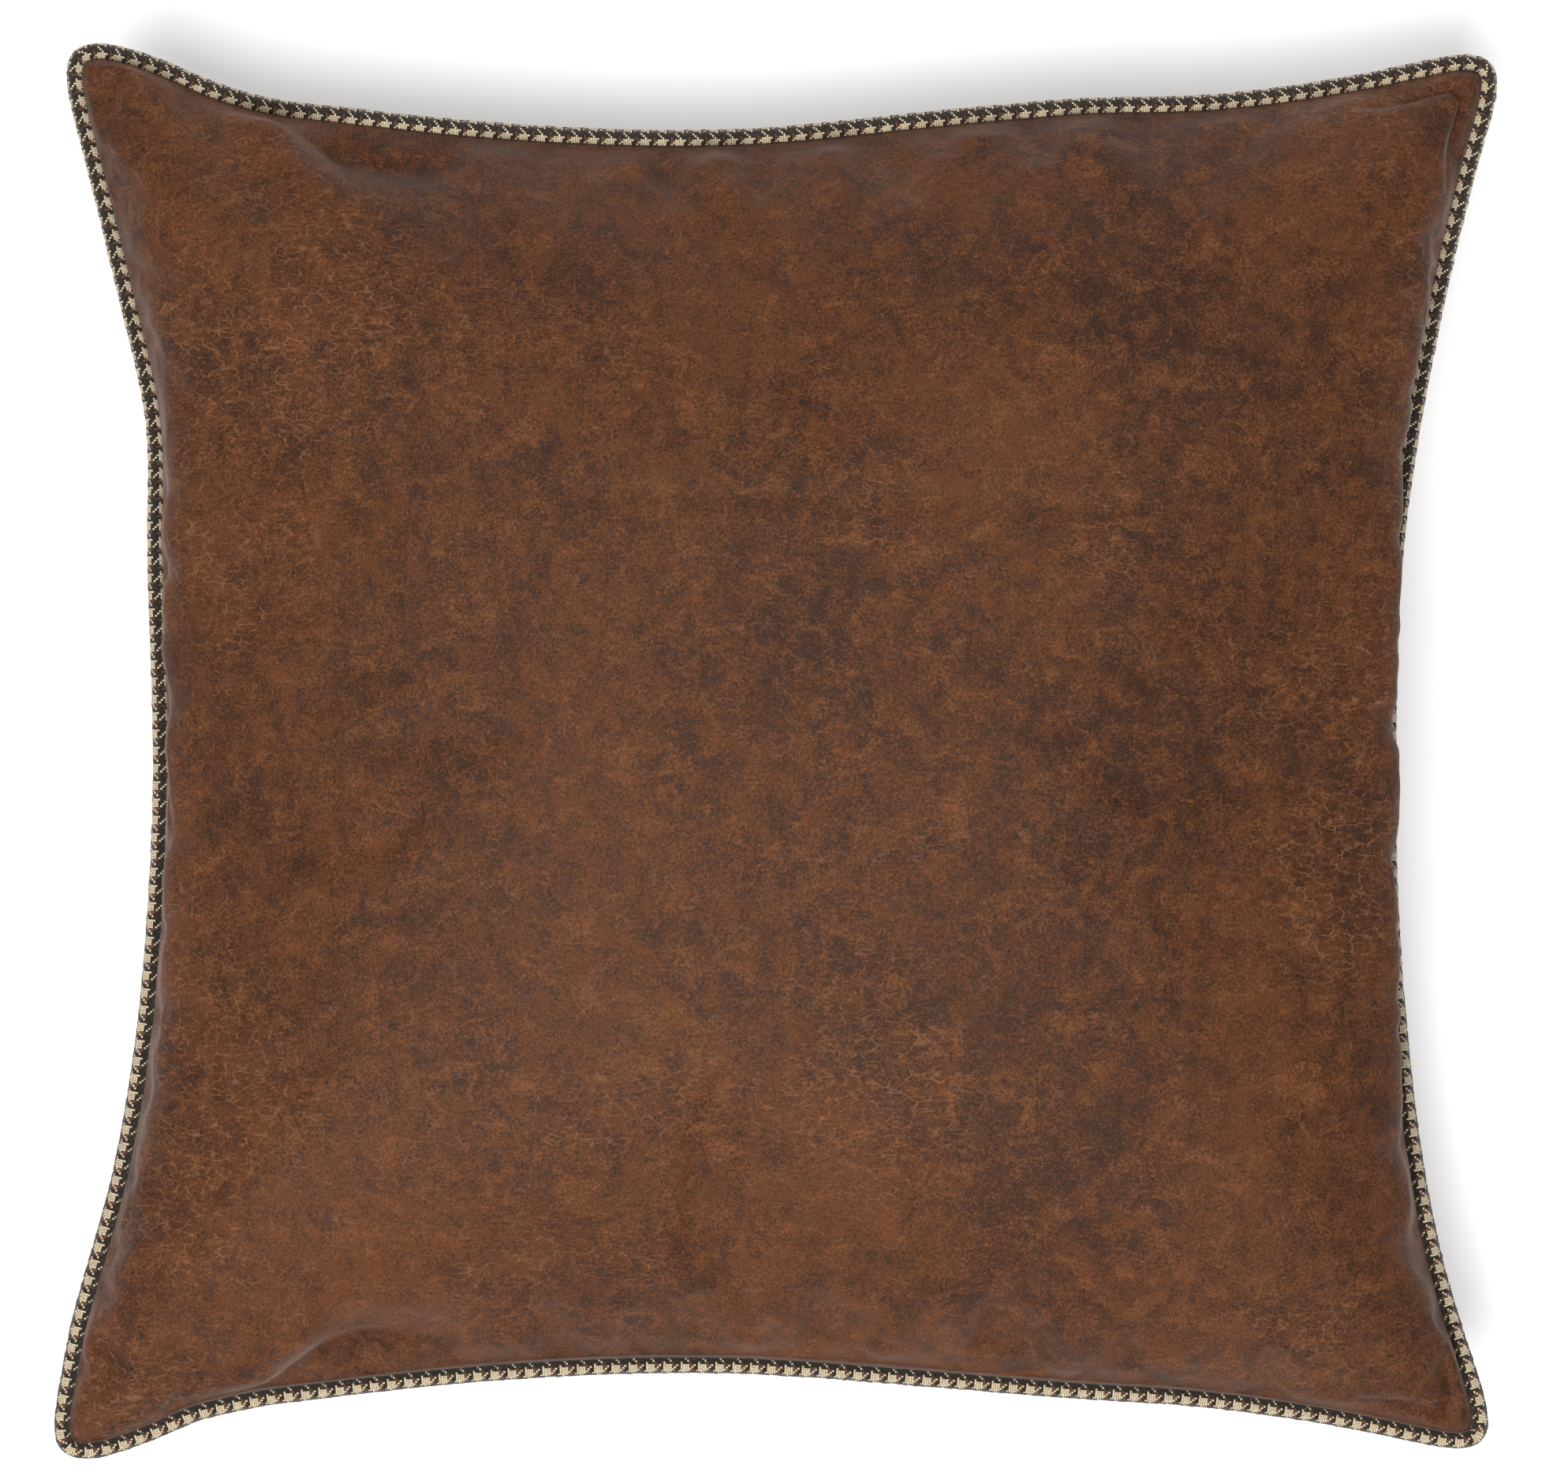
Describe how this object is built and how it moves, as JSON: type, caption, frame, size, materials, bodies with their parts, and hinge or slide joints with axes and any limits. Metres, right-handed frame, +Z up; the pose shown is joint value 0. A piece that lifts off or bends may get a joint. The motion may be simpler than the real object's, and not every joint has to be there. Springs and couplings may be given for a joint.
{
  "type": "throw pillow",
  "caption": "Square throw pillow: two leather-look cloth panels with a dogtooth piped edge, a hidden zipper in the bottom seam and a stuffed insert inside.",
  "frame": {"origin": "on the surface the pillow lies on, under the middle of its back panel", "axes": "+Z up, out of the front panel; +Y to the top edge; +X to the right seen from the front; the zipper is in the -Y edge"},
  "size_m": [0.5045, 0.4961, 0.16],
  "materials": {
    "panel_cloth": "matte",
    "piping_tweed": "matte",
    "cotton_cord": "matte",
    "brown_thread": "matte",
    "zipper_tape_cloth": "matte",
    "zipper_nylon": "satin",
    "zipper_metal": "satin",
    "label_satin": "satin",
    "insert_cotton": "matte",
    "white_thread": "matte",
    "fibre": "matte"
  },
  "bodies": {
    "pillow": {"front_panel": "panel_cloth", "back_panel": "panel_cloth", "piping_cover": "piping_tweed", "piping_cord": "cotton_cord", "cover_seam_stitching": "brown_thread", "zipper_stitching": "brown_thread", "zipper_tape_front": "zipper_tape_cloth", "zipper_tape_back": "zipper_tape_cloth", "zipper_coil_front": "zipper_nylon", "zipper_coil_back": "zipper_nylon", "zipper_top_stops": "zipper_metal", "zipper_bottom_stop": "zipper_metal", "care_label": "label_satin", "insert_label": "label_satin", "insert_front": "insert_cotton", "insert_back": "insert_cotton", "insert_seam_stitching": "white_thread", "insert_closing_stitches": "white_thread", "fill": "fibre"},
    "slider": {"zipper_slider": "zipper_metal"},
    "pull_tab": {"zipper_pull_tab": "zipper_metal"}
  },
  "joints": [
    {"name": "slider_travel", "type": "hinge", "parent": "pillow", "child": "slider", "pos_m": [0.00592, -1.18784, 0.0705], "axis": [0, 0, 1], "range_deg": [0, 17.65]},
    {"name": "tab_swing", "type": "hinge", "parent": "slider", "child": "pull_tab", "pos_m": [0.15157, -0.22119, 0.0705], "axis": [0, 0, 1], "range_deg": [0, 170]}
  ]
}
